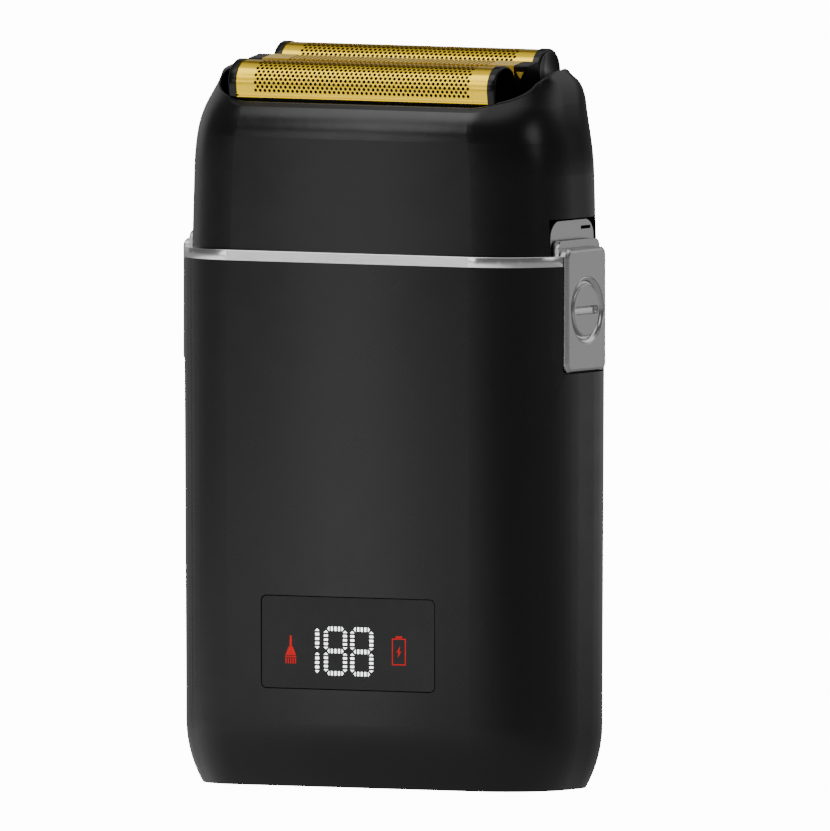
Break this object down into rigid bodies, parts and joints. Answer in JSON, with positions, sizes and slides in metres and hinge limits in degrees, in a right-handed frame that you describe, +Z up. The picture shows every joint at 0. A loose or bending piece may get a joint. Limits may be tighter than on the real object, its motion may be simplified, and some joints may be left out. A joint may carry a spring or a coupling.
{
  "type": "foil shaver",
  "caption": "Cordless foil shaver: tall rounded handle with a display, a slide on one side, and a lift-off head that carries perforated foils either side of a comb trimmer.",
  "frame": {"origin": "centre of the underside, on the surface it stands on", "axes": "+Z up the handle, -Y the display side, +X the side with the power slide"},
  "size_m": [0.066, 0.029, 0.1103],
  "materials": {
    "satin_black_metal": "satin black coating",
    "satin_black_casing": "satin black",
    "black_plastic": "matte black",
    "gloss_black_plastic": "gloss black",
    "grey_plastic": "matte dark grey",
    "brushed_silver": "brushed satin",
    "screw_chrome": "bright with a turned face",
    "steel": "plain steel",
    "spring_steel": "drawn wire",
    "blade_steel": "ground steel",
    "gold": "gold plating",
    "dark_window": "dark tinted window",
    "circuit_board": "solder mask",
    "battery_wrap": "heat-shrink wrap",
    "seal_rubber": "soft matte"
  },
  "bodies": {
    "handle": {"outer_sleeve": "satin_black_metal", "base_plate": "black_plastic", "base_screws": "steel", "charging_socket": "steel", "chassis": "grey_plastic", "battery_cells": "battery_wrap", "main_board": "circuit_board", "display_board": "circuit_board", "display_window": "dark_window", "collar_ring": "brushed_silver", "top_deck": "grey_plastic", "deck_screws": "steel", "shaft_seal": "seal_rubber", "motor_can": "steel", "rod_brackets": "grey_plastic", "guide_rods": "steel", "slide_track": "brushed_silver", "slide_switch": "black_plastic", "button_guide": "grey_plastic"},
    "power_slider": {"slide_plate": "brushed_silver", "slide_screw": "screw_chrome", "slide_carriage": "brushed_silver"},
    "release_button": {"release_plate": "brushed_silver", "release_screw": "screw_chrome", "release_seat": "brushed_silver", "release_stem": "steel", "release_spring": "spring_steel"},
    "head": {"head_casing": "satin_black_casing", "foil_frame": "black_plastic", "trimmer_comb": "gold", "trimmer_holder": "black_plastic", "trimmer_end_blocks": "black_plastic", "trimmer_clips": "gold"},
    "front_foil_cassette": {"front_foil": "gold", "front_foil_cap_left": "gloss_black_plastic", "front_foil_cap_right": "gloss_black_plastic", "front_foil_rails": "black_plastic"},
    "rear_foil_cassette": {"rear_foil": "gold", "rear_foil_cap_left": "gloss_black_plastic", "rear_foil_cap_right": "gloss_black_plastic", "rear_foil_rails": "black_plastic"},
    "drive_bridge": {"drive_bridge": "grey_plastic", "cutter_posts": "steel", "trimmer_fork": "grey_plastic"},
    "front_cutter_block": {"front_cutter": "blade_steel", "front_cutter_carrier": "black_plastic", "front_cutter_spring": "spring_steel"},
    "rear_cutter_block": {"rear_cutter": "blade_steel", "rear_cutter_carrier": "black_plastic", "rear_cutter_spring": "spring_steel"},
    "moving_blade": {"trimmer_blade": "blade_steel"},
    "motor_rotor": {"motor_shaft": "steel", "eccentric_cam": "grey_plastic"}
  },
  "joints": [
    {"name": "power_slide", "type": "slide", "parent": "handle", "child": "power_slider", "axis": [0, 0, 1], "range_m": [0, 0.0026]},
    {"name": "release_press", "type": "slide", "parent": "handle", "child": "release_button", "axis": [1, 0, 0], "range_m": [0, 0.0008], "stiffness_N_per_m": 700, "springref_m": -0.0008, "deforming": ["release_spring"]},
    {"name": "head_lift", "type": "slide", "parent": "handle", "child": "head", "axis": [0, 0, 1], "range_m": [0, 0.032]},
    {"name": "front_foil_float", "type": "slide", "parent": "head", "child": "front_foil_cassette", "axis": [0, 0.1461, -0.9893], "range_m": [0, 0.0008], "stiffness_N_per_m": 500, "springref_m": -0.0008},
    {"name": "rear_foil_float", "type": "slide", "parent": "head", "child": "rear_foil_cassette", "axis": [0, 0.1461, -0.9893], "range_m": [0, 0.0008], "stiffness_N_per_m": 500, "springref_m": -0.0008},
    {"name": "bridge_stroke", "type": "slide", "parent": "handle", "child": "drive_bridge", "axis": [1, 0, 0], "range_m": [-0.0009, 0.0009]},
    {"name": "front_cutter_float", "type": "slide", "parent": "drive_bridge", "child": "front_cutter_block", "axis": [0, 0.1461, -0.9893], "range_m": [0, 0.0008], "deforming": ["front_cutter_spring"]},
    {"name": "rear_cutter_float", "type": "slide", "parent": "drive_bridge", "child": "rear_cutter_block", "axis": [0, 0.1461, -0.9893], "range_m": [0, 0.0008], "deforming": ["rear_cutter_spring"]},
    {"name": "trimmer_stroke", "type": "slide", "parent": "head", "child": "moving_blade", "axis": [1, 0, 0], "range_m": [-0.0009, 0.0009]},
    {"name": "motor_spin", "type": "hinge", "parent": "handle", "child": "motor_rotor", "pos_m": [0, 0, 0.07], "axis": [0, 0, 1], "continuous": true}
  ],
  "couplings": [
    {"joint": "front_cutter_float", "follows": "front_foil_float", "ratio": 1},
    {"joint": "rear_cutter_float", "follows": "rear_foil_float", "ratio": 1},
    {"joint": "trimmer_stroke", "follows": "bridge_stroke", "ratio": 1}
  ]
}
